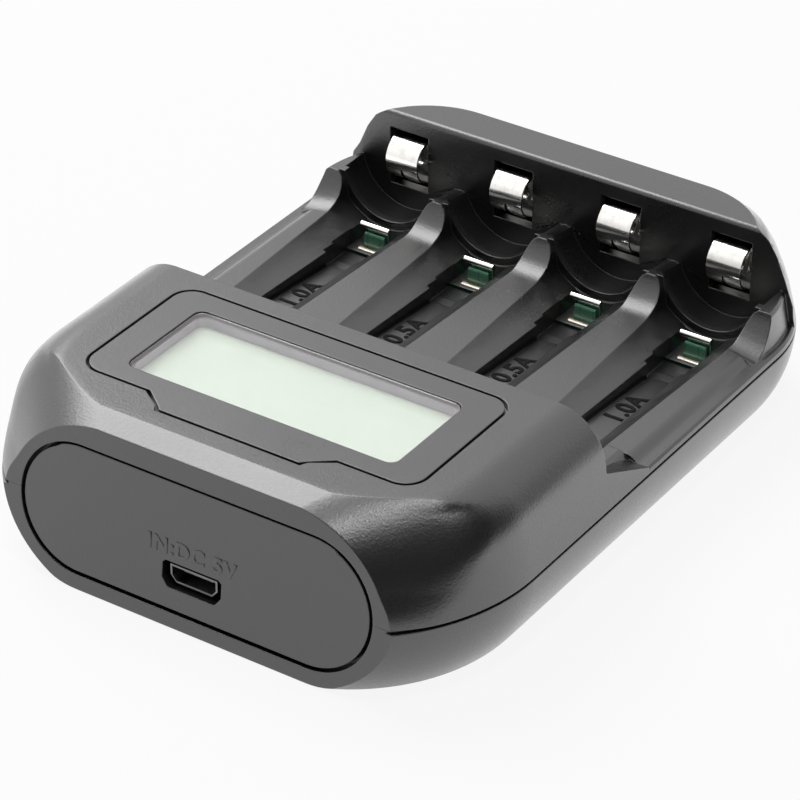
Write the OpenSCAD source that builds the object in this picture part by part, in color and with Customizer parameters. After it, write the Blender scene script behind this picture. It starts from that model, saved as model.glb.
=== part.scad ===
// Four-bay charger for AA and AAA cells: clamshell body, raised display block at the port end,
// four open troughs, and a contact wall at the rear.
// X runs across the bays, Y from the port end to the contact wall, Z up. Sizes in millimetres.

/* [Body] */
// length from the port face to the rear
length = 104.4; // [96:0.2:120]
// width across the side walls at the parting line
width = 78.3; // [74:0.1:92]
// height of the line where the two halves meet
parting_height = 12; // [11:0.1:15]
// height of the display block
deck_height = 25.5; // [23:0.1:32]
// height of the contact wall
wall_height = 26.3; // [24:0.1:32]
// lean of the port face, in degrees
face_lean = 7; // [0:0.5:10]
// plan radius of the two front corners
front_radius = 28; // [25:0.2:31]
// plan radius of the two rear corners
rear_radius = 20; // [15:0.5:24]
// radius where the sides roll into the top
shoulder_radius = 7.6; // [5:0.1:8.6]
// inward lean of the upper side walls, in degrees
side_draft = 8; // [3:0.5:10]
// radius of the long curve of the lower side walls
belly_radius = 18; // [16:0.5:24]
// radius at the underside edge
foot_radius = 2.2; // [1:0.1:3]
// moulded wall thickness
skin = 2; // [1.6:0.1:2.4]
// open groove along the parting line
parting_gap = 0.45; // [0.3:0.05:0.8]

/* [Bays] */
// length of the display block, up to the bays
block_length = 39.9; // [36:0.1:44]
// depth of the contact wall
wall_depth = 12.7; // [11:0.1:15]
// radius of the seat that holds the end of an AA cell
seat_radius = 7.5; // [7.3:0.1:8]
// radius of a trough at its display end
trough_front = 7.2; // [6.8:0.1:7.8]
// radius of a trough at its contact end
trough_rear = 8.75; // [8:0.05:8.9]
// fall of the rating panel towards the contact wall, in degrees
panel_fall = 5; // [3:0.5:6]
// width of the rating panel
panel_width = 5.3; // [4:0.1:7]

/* [Display] */
// width of the cover plate
plate_width = 52.5; // [46:0.5:56]
// length of the cover plate without its tab
plate_length = 23.4; // [21:0.2:24]
// distance from the bays to the cover plate
plate_back = 3.6; // [3:0.1:5]
// width of the viewing window
window_width = 42.6; // [36:0.2:44]
// length of the viewing window
window_length = 16.6; // [14:0.2:17.6]

/* [Port] */
// height of the port centre
port_height = 7.6; // [7.2:0.1:8.4]
// width of the end panel
end_width = 55.8; // [50:0.2:58]
// height of the end panel, along the leaning face
end_height = 19.3; // [17:0.1:20]

/* [Contacts] */
// width of an AA contact strip
strip_width = 5.4; // [4:0.1:6]
// outer radius of the curl of an AA contact strip
curl_radius = 3.5; // [3:0.1:3.8]
// width of an AAA contact tab
tab_width = 4.9; // [4:0.1:5.4]
// thickness of the contact strip
sheet = 0.35; // [0.3:0.05:0.5]

/* [Hidden] */
$fn = 64;
half = width / 2;
pitch = (width - 6.3) / 4;
bays = [for (i = [0:3]) (i - 1.5) * pitch];
front_y = front_radius * 21.3 / 28;
rear_y = length - rear_radius;
wall_y = length - wall_depth;
wall_back = wall_y + 1.5;
wall_lip = 0.8;
block_y = block_length;
block_wall = block_y - 3.3;

ledge_top = parting_height + 0.9;
rib_top = parting_height + 1.8;
horn_top = parting_height + 5.8;
cell_axis = parting_height + 7.2;
tub_bottom = parting_height - 4.8;
ramp_y = wall_y - 11.8;
horn_y = wall_y - 6.4;
ramp_rise = horn_top - rib_top;
ramp_run = horn_y - ramp_y;
ramp_radius = (ramp_run * ramp_run + ramp_rise * ramp_rise) / (2 * ramp_rise);
rail_y = block_y + 9.9;
seat_y = wall_y - 5.9;
seat_thick = 1.2;
pocket_radius = seat_radius + 0.7;
tab_y = wall_y - 8.8;
window_y = wall_y - 10.6;
panel_end_y = wall_y - 17.6;
panel_end_z = parting_height - 2.8;
step_y = panel_end_y + 2.5;

roof = deck_height - skin;

brow_y = 6.5;
brow_rise = 18.1;
brow_ahead = end_width * 24 / 55.8;
brow_z = deck_height - (brow_y + brow_ahead) * tan(brow_rise);
corner_turn = 24.6;
corner_dip = 8.5;
corner_roll = atan2(
    sin(brow_rise) * sin(corner_turn),
    cos(brow_rise) * cos(corner_dip) - sin(brow_rise) * sin(corner_dip) * cos(corner_turn)
);
corner_open = 0.1 + asin(
    sin(brow_rise) * cos(corner_turn) * cos(corner_dip) + cos(brow_rise) * sin(corner_dip)
);
board_thick = 1.6;
socket_height = 2.75;
socket_front = 1.6;
socket_length = 5.6;
socket_rear = socket_front + socket_length;
board_top = port_height - socket_height / 2;
board_front = 4.7;
board_half = half - 13.7;
contact_top = parting_height - 3.4;
contact_front = window_y - 0.6;
contact_rear = wall_y + 2.9;
leg_y = wall_y + 2.3;

plate_y = block_y - plate_back - plate_length;
plate_thick = 1;
plate_gap = 0.45;
plate_corner = 3;
tab_reach = 3.1;
glass_mid_y = block_y - 15.56;
glass_top = deck_height - 2.6;
glass_thick = 2;
light_bottom = glass_top - 5.2;
end_mid = 11.8;
end_gap = 0.4;

screw_front = [half - 9.5, front_y + 5.6];
screw_rear = [pitch, length - 8.9];
screw_radius = 1.2;
post_radius = 3.1;
seat_height = 4;

// Y counted from the front lower edge becomes Y about the middle.
module centred() {
    translate([0, -length / 2, 0])
        children();
}

// Draws in Y and Z and runs along X from x0 for the length run.
module along_x(x0, run) {
    translate([x0, 0, 0])
        rotate([90, 0, 90])
            linear_extrude(run)
                children();
}

// Draws in X and Z and runs along Y from y0 to y1.
module along_y(y0, y1) {
    translate([0, y1, 0])
        rotate([90, 0, 0])
            linear_extrude(y1 - y0)
                children();
}

// Draws on the leaning port face and runs inwards from depth d0 to d1.
module on_face(d0, d1) {
    rotate([90 - face_lean, 0, 0])
        translate([0, 0, -d1])
            linear_extrude(d1 - d0)
                children();
}

// Upper side wall with its draft and rolled shoulder, set in from the outermost line at 0.
module roll_section(top, inner, inset) {
    r = shoulder_radius - inset;
    low = top - shoulder_radius;
    rise = low + shoulder_radius * sin(side_draft) - parting_height;
    mid = rise * tan(side_draft) + shoulder_radius * cos(side_draft) - 0.01;
    polygon([
        [inner, parting_height], [-inset / cos(side_draft), parting_height],
        [-mid - 0.01 + r * cos(side_draft), low + r * sin(side_draft)],
        [-mid, low], [-mid, low + r], [inner, low + r]
    ]);
    intersection() {
        translate([-mid, low])
            circle(r);
        translate([-mid, low])
            square([r + 1, r + 1]);
    }
}

// Lower side wall: a long curve, a rounded foot and the groove under the parting line.
module belly_section(inner) {
    reach = belly_radius - foot_radius;
    drop = parting_height - foot_radius;
    foot = belly_radius - sqrt(reach * reach - drop * drop);
    touch_z = parting_height - drop * belly_radius / reach;
    touch = belly_radius - sqrt(reach * reach - drop * drop) * belly_radius / reach;
    lip = parting_height - parting_gap;
    intersection() {
        translate([-belly_radius, parting_height])
            circle(belly_radius);
        translate([-belly_radius, touch_z])
            square([belly_radius + 1, lip - touch_z]);
    }
    translate([-foot, foot_radius])
        circle(foot_radius);
    polygon([
        [inner, 0], [-foot, 0], [-foot, foot_radius], [-touch, touch_z], [-belly_radius / 2, lip],
        [-0.7, lip], [-0.7, parting_height], [inner, parting_height]
    ]);
}

// One cross-section of the side wall, from the axis of a corner or the middle of the body outwards.
module section(kind, inner) {
    if (kind == "deck")
        roll_section(deck_height, inner, 0);
    if (kind == "wall")
        roll_section(wall_height, inner, 0);
    if (kind == "ledge")
        polygon([
            [inner, parting_height], [0, parting_height], [-0.1, ledge_top - 0.3],
            [-0.4, ledge_top], [inner, ledge_top]
        ]);
    if (kind == "rail")
        polygon([
            [inner, parting_height], [-1, parting_height], [-1, ledge_top],
            [-1.8, horn_top - 0.4], [-2.2, horn_top], [inner, horn_top]
        ]);
    if (kind == "belly")
        belly_section(inner);
    if (kind == "deck_void")
        roll_section(deck_height, inner, skin);
    if (kind == "wall_void")
        roll_section(wall_height, inner, skin);
    if (kind == "belly_void")
        polygon([
            [inner, skin], [-skin - 5.5, skin], [-skin - 1.2, skin + 4],
            [-skin - 0.2, parting_height], [inner, parting_height]
        ]);
}

module both_sides() {
    children();
    mirror([1, 0, 0])
        children();
}

// The body between two stations of its straight sides, run from each end past the middle.
module straight(kind, y0, y1) {
    run = 0.6 * (y1 - y0);
    along_y(y1 - run, y1)
        across(kind);
    translate([0, y0, 0])
        rotate([-90, 0, 0])
            linear_extrude(run)
                mirror([0, 1])
                    across(kind);
}

// The whole section across X.
module across(kind) {
    both_sides()
        translate([half, 0])
            section(kind, -half);
}

// A section turned about a corner's axis, cut off at the axis itself.
module from_axis(kind, r) {
    intersection() {
        translate([r, 0])
            section(kind, -r - 1);
        square([2 * r, 2 * wall_height]);
    }
}

// The two front corners and the piece between them.
module nose(kind) {
    both_sides()
        translate([half - front_radius, front_y, 0])
            rotate([0, 0, -90])
                rotate_extrude(angle = 90)
                    from_axis(kind, front_radius);
    along_x(front_radius - half, 2 * (half - front_radius))
        translate([front_y - front_radius, 0])
            mirror([1, 0])
                section(kind, -front_radius);
}

// The two rear corners and the piece between them.
module tail(kind) {
    both_sides()
        translate([half - rear_radius, rear_y, 0])
            rotate_extrude(angle = 90)
                from_axis(kind, rear_radius);
    along_x(rear_radius - half, 2 * (half - rear_radius))
        translate([length, 0])
            section(kind, -rear_radius);
}

// Everything in front of a plane that lies at the given depth behind the port face.
module ahead_of_face(depth) {
    rotate([90 - face_lean, 0, 0])
        translate([-width, -length, -depth])
            cube([2 * width, 2 * length, length]);
}

// What the sloping band between the port face and the top takes off: a plane across the front that turns
// into a cone at each corner. The inset gives the same band under the wall.
module brow_cut(inset) {
    translate([-width, brow_y, deck_height])
        rotate([brow_rise, 0, 0])
            translate([0, -length, -inset])
                cube([2 * width, length + inset, length]);
    both_sides()
        translate([0, -brow_ahead, brow_z])
            rotate([-corner_dip, 0, -corner_turn])
                rotate([0, corner_roll, 0])
                    difference() {
                        translate([0, brow_ahead * 0.7, 0])
                            cube([length, brow_ahead * 2, length]);
                        translate([0, inset / sin(corner_open), 0])
                            rotate([-90, 0, 0])
                                cylinder(r1 = 0, r2 = 4 * brow_ahead * tan(corner_open), h = 4 * brow_ahead);
                    }
}

module stadium(w, h) {
    translate([0, end_mid]) {
        square([w - h, h], center = true);
        translate([(w - h) / 2, 0])
            circle(h / 2);
        translate([(h - w) / 2, 0])
            circle(h / 2);
    }
}

module rounded(w, h, r) {
    square([w - 2 * r, h], center = true);
    square([w, h - 2 * r], center = true);
    for (x = [r - w / 2, w / 2 - r], y = [r - h / 2, h / 2 - r])
        translate([x, y])
            circle(r);
}

// The hole that the end panel fills, and the wider slot behind it for its flange.
module end_opening() {
    on_face(-1, 2.4)
        stadium(end_width, end_height);
    on_face(2.2, 3.6)
        stadium(end_width + 1.8, end_height + 1.8);
}

// How high the bay area may stand along Y.
module bay_heights() {
    difference() {
        polygon([
            [block_y - 1, 0], [wall_y + 0.5, 0], [wall_y + 0.5, horn_top],
            [ramp_y, horn_top], [ramp_y, rib_top], [block_y - 1, rib_top]
        ]);
        intersection() {
            translate([ramp_y, rib_top + ramp_radius])
                circle(ramp_radius);
            translate([ramp_y - 1, rib_top - 1])
                square([ramp_run + 1, ramp_rise + 2]);
        }
    }
}

// The shoulder outside a rail, drawn across X: a soft S from the rail top down to the ledge.
module shoulder_outline() {
    drop = rib_top - ledge_top;
    run = 2.3;
    r = (run * run + drop * drop) / (4 * drop);
    turn = asin(run / 2 / r);
    far = half - 1.4;
    polygon(concat(
        [for (i = [0:5]) [far - run + r * sin(turn * i / 5), rib_top - r + r * cos(turn * i / 5)]],
        [for (i = [4:-1:0]) [far - r * sin(turn * i / 5), ledge_top + r - r * cos(turn * i / 5)]],
        [[half + 1, ledge_top], [half + 1, horn_top + 1], [far - run, horn_top + 1]]
    ));
}

module shoulder_cut() {
    both_sides() {
        along_y(rail_y, ramp_y - 0.5)
            shoulder_outline();
    }
}

// One trough with its rating panel, seat, tab window and rear pocket.
module bay_cut(x) {
    translate([x, 0, 0]) {
        translate([0, block_y, cell_axis])
            rotate([-90, 0, 0])
                cylinder(r1 = trough_front, r2 = trough_rear, h = seat_y - block_y);
        translate([0, seat_y - 1, cell_axis])
            rotate([-90, 0, 0])
                cylinder(r = seat_radius, h = wall_y - seat_y + 1);
        translate([0, seat_y + seat_thick, cell_axis])
            rotate([-90, 0, 0])
                cylinder(r = pocket_radius, h = wall_y - seat_y - seat_thick);
        panel_channel();
        translate([-panel_width / 2 - 0.5, panel_end_y - 0.01, panel_end_z - 0.5])
            cube([panel_width + 1, step_y - panel_end_y + 0.02, 4]);
        translate([-panel_width / 2 - 0.8, step_y, panel_end_z - 0.9])
            cube([panel_width + 1.6, window_y - step_y + 0.5, 4]);
        translate([-tab_width / 2 - 0.9, window_y, tub_bottom - 1])
            cube([tab_width + 1.8, seat_y - window_y - 0.3, 8]);
        translate([-strip_width / 2 - 0.6, wall_y - 1, cell_axis - curl_radius - 1.2])
            cube([strip_width + 1.2, 4, 2 * curl_radius + 2.2]);
        negative_recess();
    }
}

// The sloping panel under a cell, with a fine groove along each side.
module panel_channel() {
    run = panel_end_y - block_y + 1.5;
    translate([0, panel_end_y, panel_end_z])
        rotate([-panel_fall, 0, 0]) {
            translate([-panel_width / 2, -run, 0])
                cube([panel_width, run, 5]);
            for (x = [-panel_width / 2, panel_width / 2 - 0.5])
                translate([x, -run, -0.45])
                    cube([0.5, run, 2]);
        }
}

// The pocket behind the display end of a bay, for the stepped contact.
module negative_recess() {
    translate([-4.6, block_y - 2, parting_height - 2.6])
        cube([9.2, 3, 5.9]);
    translate([-1.7, block_y - 2, tub_bottom - 1])
        cube([3.4, 0.8, 4]);
    translate([-2.6, block_y - 2, cell_axis - 4.4])
        cube([5.2, 3, 5.2]);
}

module screw_places() {
    for (x = [-1, 1]) {
        translate([x * screw_front[0], screw_front[1], 0])
            children();
        translate([x * screw_rear[0], screw_rear[1], 0])
            children();
    }
}

module plate_outline(grow) {
    translate([0, plate_y + plate_length / 2])
        rounded(plate_width + 2 * grow, plate_length + 2 * grow, plate_corner + grow);
    polygon([
        [-15 - grow, plate_y + 1], [-15 - grow, plate_y + 0.2 - grow], [-11.6 - grow, plate_y - tab_reach + 0.6],
        [-11 - grow, plate_y - tab_reach - grow], [11 + grow, plate_y - tab_reach - grow],
        [11.6 + grow, plate_y - tab_reach + 0.6], [15 + grow, plate_y + 0.2 - grow], [15 + grow, plate_y + 1]
    ]);
}

module window_outline(grow) {
    translate([0, glass_mid_y])
        rounded(window_width + 2 * grow, window_length + 2 * grow, 1.5);
}

module display_block() {
    difference() {
        union() {
            nose("deck");
            straight("deck", front_y, block_y);
        }
        brow_cut(0);
        ahead_of_face(0);
        difference() {
            union() {
                nose("deck_void");
                straight("deck_void", front_y, block_wall);
            }
            ahead_of_face(2.2);
            brow_cut(skin);
        }
        end_opening();
        translate([0, 0, deck_height - plate_thick])
            linear_extrude(plate_thick + 1)
                plate_outline(plate_gap);
        translate([-window_width / 2 - 1.75, glass_mid_y - window_length / 2 - 1.45, roof - 1])
            cube([window_width + 3.5, window_length + 2.9, skin + 1]);
    }
}

// The skirt from the block to the rails: a soft ridge beside the trough and a fin that runs down to the ledge.
module skirt() {
    fin_top = ledge_top + 4.3;
    lean = (fin_top - parting_height) * tan(side_draft);
    both_sides() {
        along_y(block_y - 0.5, rail_y)
            polygon([
                [half - 8.2, parting_height], [half - 8.2, rib_top + 0.3], [half - 4.8, rib_top + 0.3],
                [half - 4.1, rib_top], [half - 3.3, ledge_top + 0.25], [half - 2.2, ledge_top + 0.05],
                [half - 0.5, ledge_top], [half - 0.2, parting_height]
            ]);
        intersection() {
            along_y(block_y - 0.5, rail_y)
                polygon([
                    [half - 4, parting_height], [half - 4, ledge_top + 0.1], [half - 2.4, fin_top],
                    [half - lean, fin_top], [half, parting_height]
                ]);
            along_x(0, half)
                polygon([
                    [block_y - 1, parting_height], [rail_y, parting_height], [rail_y, ledge_top],
                    [block_y, fin_top], [block_y - 1, fin_top]
                ]);
        }
    }
}

module bay_deck() {
    difference() {
        union() {
            straight("ledge", block_y - 0.5, rear_y);
            tail("ledge");
            intersection() {
                union() {
                    straight("rail", rail_y, rear_y);
                    tail("rail");
                }
                along_x(-half, width)
                    bay_heights();
            }
            translate([-1.5 * pitch, block_y - 1, parting_height])
                cube([3 * pitch, rail_y - block_y + 1.5, rib_top - parting_height]);
            skirt();
            intersection() {
                tail("wall");
                translate([-half, wall_y, 0])
                    cube([width, wall_depth + 1, wall_height + 1]);
            }
            translate([-half + 6.1, block_wall, tub_bottom])
                cube([width - 12.2, wall_back - block_wall, parting_height - tub_bottom + 0.5]);
        }
        shoulder_cut();
        along_x(-half, width)
            difference() {
                translate([wall_y - 0.2, wall_height - wall_lip])
                    square([wall_lip + 0.2, wall_lip + 0.2]);
                translate([wall_y + wall_lip, wall_height - wall_lip])
                    circle(wall_lip + 0.003);
            }
        for (x = [-pitch, 0, pitch])
            translate([x - 3.2, block_y + 2, tub_bottom - 1])
                cube([6.4, ramp_y - block_y - 4, parting_height - tub_bottom + 0.9]);
        translate([-half, contact_front - 0.3, tub_bottom - 1])
            cube([width, contact_rear, contact_top - tub_bottom + 1]);
        intersection() {
            tail("wall_void");
            translate([-half, wall_back, 0])
                cube([width, wall_depth, wall_height + 1]);
        }
    }
}

module upper_shell() {
    color([0.23, 0.23, 0.24])
        difference() {
            union() {
                display_block();
                bay_deck();
                screw_places()
                    translate([0, 0, parting_height])
                        cylinder(r = 2.8, h = roof - parting_height + 1);
            }
            for (x = bays)
                bay_cut(x);
            screw_places() {
                translate([0, 0, parting_height - 1])
                    cylinder(r = screw_radius + 0.05, h = 7.2);
                translate([0, 0, tub_bottom - 1])
                    cylinder(r = post_radius + 0.2, h = parting_height - tub_bottom + 1);
            }
        }
}

module lower_shell() {
    color([0.2, 0.2, 0.21])
        difference() {
            union() {
                difference() {
                    union() {
                        nose("belly");
                        straight("belly", front_y, rear_y);
                        tail("belly");
                    }
                    difference() {
                        union() {
                            nose("belly_void");
                            straight("belly_void", front_y, rear_y);
                            tail("belly_void");
                        }
                        ahead_of_face(2.2);
                    }
                    ahead_of_face(0);
                }
                screw_places()
                    translate([0, 0, 1])
                        cylinder(r = post_radius, h = parting_height - 1);
                for (x = [-board_half + 3, board_half - 3], y = [board_front + 5, block_y - 4])
                    translate([x, y, skin - 0.5])
                        cylinder(r = 2, h = board_top - board_thick - skin + 0.5);
                for (x = [-1.5 * pitch, 0, 1.5 * pitch])
                    translate([x, wall_y - 1.2, skin - 0.5])
                        cylinder(r = 2, h = contact_top - board_thick - skin + 0.5);
            }
            end_opening();
            screw_places() {
                translate([0, 0, -1])
                    cylinder(r = screw_radius + 0.4, h = parting_height + 2);
                translate([0, 0, -1])
                    cylinder(r = 2.5, h = seat_height + 1);
            }
        }
}

module end_panel() {
    color([0.18, 0.18, 0.19])
        difference() {
            union() {
                on_face(0.1, 2.4)
                    stadium(end_width - 2 * end_gap, end_height - 2 * end_gap);
                on_face(2.3, 3.5)
                    stadium(end_width + 1.6, end_height + 1.6);
            }
            translate([0, 0, port_height])
                along_y(-2, 6)
                    port_outline();
        }
}

// The opening round the socket: square above, drawn in below.
module port_outline() {
    polygon([
        [-4.7, 1.5], [-4.2, 1.95], [4.2, 1.95], [4.7, 1.5], [4.7, -0.6],
        [3.9, -1.7], [3.5, -1.95], [-3.5, -1.95], [-3.9, -1.7], [-4.7, -0.6]
    ]);
}

module display_cover() {
    color([0.2, 0.2, 0.21])
        translate([0, 0, deck_height - plate_thick])
            linear_extrude(plate_thick)
                difference() {
                    plate_outline(0);
                    window_outline(0);
                }
}

module display_lens() {
    color([0.85, 0.9, 0.88])
        translate([0, 0, deck_height - plate_thick - 0.1])
            linear_extrude(plate_thick - 0.05)
                window_outline(-0.1);
}

module lcd_spacer() {
    color([0.67, 0.65, 0.68])
        translate([0, 0, glass_top])
            linear_extrude(deck_height - plate_thick - 0.1 - glass_top)
                difference() {
                    translate([0, glass_mid_y])
                        square([window_width + 3.4, window_length + 2.8], center = true);
                    window_outline(-0.5);
                }
}

module lcd_glass() {
    color([0.88, 0.94, 0.86])
        translate([-window_width / 2 - 1.7, glass_mid_y - window_length / 2 - 1.4, glass_top - glass_thick])
            cube([window_width + 3.4, window_length + 2.8, glass_thick]);
}

module lcd_backlight() {
    light_top = glass_top - glass_thick;
    color([0.93, 0.93, 0.92]) {
        translate([-window_width / 2 - 1.7, glass_mid_y - window_length / 2 - 1.4, light_bottom])
            cube([window_width + 3.4, window_length + 2.4, light_top - light_bottom]);
        for (x = [-window_width / 2 - 1.7, window_width / 2 - 0.3])
            for (y = [glass_mid_y - window_length / 2 - 1.4, glass_mid_y + window_length / 2 - 1])
                translate([x, y, board_top])
                    cube([2, 2, light_bottom - board_top + 0.5]);
    }
}

module lcd_pins() {
    pin_y = glass_mid_y + window_length / 2 + 1.4;
    color([0.8, 0.8, 0.8])
        for (i = [-7.5:1:7.5])
            translate([i * 2.54 - 0.25, pin_y, board_top])
                cube([0.5, 0.4, glass_top - 1 - board_top]);
}

module main_board() {
    color([0.05, 0.35, 0.2])
        difference() {
            translate([-board_half, board_front, board_top - board_thick])
                cube([2 * board_half, block_y - 0.7 - board_front, board_thick]);
            for (x = [-1, 1])
                translate([x * (board_half + 1), board_front - 1, 0])
                    cylinder(r = 6, h = board_top + 1);
        }
}

module charge_controller() {
    color([0.1, 0.1, 0.1])
        translate([-16, block_y - 18, board_top])
            cube([7, 7, 1.3]);
}

module power_inductor() {
    color([0.2, 0.2, 0.2])
        translate([7, socket_rear + 6.7, board_top])
            cube([8, 8, 4.2]);
}

module filter_capacitors() {
    color([0.15, 0.15, 0.2])
        for (x = [-10, 3])
            translate([x, socket_rear + 5.7, board_top])
                cylinder(r = 2.5, h = 7);
}

module charge_transistors() {
    color([0.1, 0.1, 0.1])
        for (x = bays)
            translate([x * 0.6 - 1.5, block_y - 10.4, board_top])
                cube([3, 2.6, 1.1]);
}

module contact_board() {
    color([0.05, 0.4, 0.22])
        difference() {
            translate([-1.5 * pitch - 5, contact_front, contact_top - board_thick])
                cube([3 * pitch + 10, contact_rear - contact_front, board_thick]);
            screw_places()
                cylinder(r = 3.5, h = parting_height);
        }
}

module board_link() {
    bed = board_top;
    lift = contact_top - board_thick - 0.4;
    color([0.75, 0.75, 0.72])
        along_x(-6, 12)
            polygon([
                [block_y - 3, bed], [contact_front - 4, bed], [contact_front - 1, lift],
                [contact_front + 3, lift], [contact_front + 3, lift + 0.4], [contact_front - 1, lift + 0.4],
                [contact_front - 4, bed + 0.4], [block_y - 3, bed + 0.4]
            ]);
}

module socket_outline(inset) {
    h = socket_height / 2 - inset;
    w = 3.75 - inset;
    polygon([[-w, h], [w, h], [w, -0.3], [w - h + 0.45, -h], [h - w - 0.45, -h], [-w, -0.3]]);
}

module usb_socket() {
    wall = 0.3;
    color([0.8, 0.8, 0.8])
        translate([0, 0, port_height])
            difference() {
                along_y(socket_front, socket_rear)
                    socket_outline(0);
                along_y(socket_front - 1, socket_rear - wall)
                    socket_outline(wall);
            }
}

module usb_tongue() {
    color([0.1, 0.1, 0.1])
        translate([-2.3, 2.6, port_height + 0.1])
            cube([4.6, 3.6, 0.6]);
}

// A strip that rises from the board, turns forward through the wall and curls down in front of it.
module aa_contact(x) {
    curl_y = leg_y - 1;
    foot_z = contact_top + sheet / 2;
    color([0.85, 0.84, 0.82])
        translate([x, 0, 0])
            difference() {
                along_x(-strip_width / 2, strip_width) {
                    translate([leg_y, foot_z])
                        circle(sheet / 2);
                    translate([leg_y - sheet / 2, foot_z])
                        square([sheet, cell_axis + curl_radius - foot_z]);
                    translate([curl_y, cell_axis + curl_radius - sheet])
                        square([leg_y - curl_y, sheet]);
                    difference() {
                        translate([curl_y, cell_axis])
                            circle(curl_radius);
                        translate([curl_y, cell_axis])
                            circle(curl_radius - sheet);
                        translate([curl_y, cell_axis - 2 * curl_radius])
                            square([2 * curl_radius, 4 * curl_radius]);
                        translate([curl_y, cell_axis])
                            rotate([0, 0, 245])
                                square([2 * curl_radius, 2 * curl_radius]);
                    }
                }
                along_y(curl_y - curl_radius - 1, curl_y)
                    polygon([
                        [-0.7, cell_axis - curl_radius - 1], [0.7, cell_axis - curl_radius - 1],
                        [0.15, cell_axis - 0.6], [-0.15, cell_axis - 0.6]
                    ]);
            }
}

// A tab that stands on the board through the floor window, with a rolled top.
module aaa_contact(x) {
    top = parting_height - 0.1;
    color([0.85, 0.84, 0.82])
        translate([x, 0, 0])
            along_x(-tab_width / 2, tab_width) {
                translate([tab_y - sheet / 2, contact_top])
                    square([1.5 + sheet / 2, sheet]);
                translate([tab_y - sheet / 2, contact_top])
                    square([sheet, top - contact_top]);
                translate([tab_y, top])
                    circle(0.5);
            }
}

// A stepped strip at the display end: the low face meets an AAA cell, the high face an AA cell.
module negative_contact(x) {
    back = block_y - 2;
    color([0.85, 0.84, 0.82])
        translate([x, 0, 0]) {
            translate([-4.2, back, parting_height - 2.4])
                cube([8.4, sheet, 5.5]);
            translate([-1.5, back, board_top])
                cube([3, sheet, parting_height - 2 - board_top]);
            translate([-2.2, back, parting_height + 2.8])
                cube([4.4, sheet, cell_axis - parting_height - 2.8 + 0.3]);
            translate([-2.2, back, cell_axis])
                cube([4.4, 2.4 + sheet, sheet]);
            translate([-2.2, back + 2.4, cell_axis - 3.6])
                cube([4.4, sheet, 3.6 + sheet]);
        }
}

module case_screws() {
    color([0.3, 0.3, 0.31])
        screw_places() {
            translate([0, 0, seat_height - 1.8])
                cylinder(r = 2.2, h = 1.8);
            translate([0, 0, seat_height - 0.5])
                cylinder(r = screw_radius, h = parting_height + 5.5 - seat_height);
        }
}

centred() lower_shell();
centred() upper_shell();
centred() end_panel();
centred() display_cover();
centred() display_lens();
centred() lcd_spacer();
centred() lcd_glass();
centred() lcd_backlight();
centred() lcd_pins();
centred() main_board();
centred() charge_controller();
centred() power_inductor();
centred() filter_capacitors();
centred() charge_transistors();
centred() contact_board();
centred() board_link();
centred() usb_socket();
centred() usb_tongue();
centred() aa_contact(bays[0]);  // aa_contact_1
centred() aa_contact(bays[1]);  // aa_contact_2
centred() aa_contact(bays[2]);  // aa_contact_3
centred() aa_contact(bays[3]);  // aa_contact_4
centred() aaa_contact(bays[0]);  // aaa_contact_1
centred() aaa_contact(bays[1]);  // aaa_contact_2
centred() aaa_contact(bays[2]);  // aaa_contact_3
centred() aaa_contact(bays[3]);  // aaa_contact_4
centred() negative_contact(bays[0]);  // negative_contact_1
centred() negative_contact(bays[1]);  // negative_contact_2
centred() negative_contact(bays[2]);  // negative_contact_3
centred() negative_contact(bays[3]);  // negative_contact_4
centred() case_screws();
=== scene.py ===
"""Dresses the four-bay cell charger: case, display, boards, contacts and marks, and the studio round it."""

import logging
import math
from dataclasses import dataclass, field
from enum import Enum
from functools import cached_property
from typing import Any, Iterable

import bmesh
import bpy
from bmesh.types import BMesh, BMVert
from bpy.types import Material, Node, NodeSocket, NodeTree, Object
from mathutils import Matrix, Vector


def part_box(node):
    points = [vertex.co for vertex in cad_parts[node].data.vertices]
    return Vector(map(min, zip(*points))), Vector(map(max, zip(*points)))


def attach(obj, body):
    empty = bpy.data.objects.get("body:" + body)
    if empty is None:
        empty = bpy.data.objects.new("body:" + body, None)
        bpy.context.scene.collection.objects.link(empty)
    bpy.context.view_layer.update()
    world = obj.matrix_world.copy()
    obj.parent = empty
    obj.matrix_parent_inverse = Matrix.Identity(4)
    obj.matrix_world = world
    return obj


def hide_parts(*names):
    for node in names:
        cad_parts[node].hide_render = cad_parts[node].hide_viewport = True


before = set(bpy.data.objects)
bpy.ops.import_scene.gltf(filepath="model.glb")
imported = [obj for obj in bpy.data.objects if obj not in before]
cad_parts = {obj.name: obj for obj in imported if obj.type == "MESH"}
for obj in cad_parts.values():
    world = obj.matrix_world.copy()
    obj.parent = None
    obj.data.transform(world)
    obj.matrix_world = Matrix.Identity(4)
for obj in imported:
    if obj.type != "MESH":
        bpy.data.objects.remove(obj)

MM = 0.001
CASE = "case"
BAYS = range(1, 5)
WHITE = (1.0, 1.0, 1.0, 1.0)
Couple = tuple[float, float]
Triple = tuple[float, float, float]
Colour = Triple
Pairs = tuple[Couple, ...]
log = logging.getLogger("charger")


class Slot(Enum):
    """The record's material slots."""

    CASE_LOWER = "case_lower"
    CASE_UPPER = "case_upper"
    CASE_PANEL = "case_panel"
    CASE_COVER = "case_cover"
    CLEAR_LENS = "clear_lens"
    PALE_PLASTIC = "pale_plastic"
    LCD = "lcd"
    WHITE_PLASTIC = "white_plastic"
    TIN = "tin"
    BOARD_GREEN = "board_green"
    CHIP_BLACK = "chip_black"
    FERRITE = "ferrite"
    CAPACITOR_CAN = "capacitor_can"
    RIBBON = "ribbon"
    NICKEL = "nickel"
    SCREW_STEEL = "screw_steel"


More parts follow.
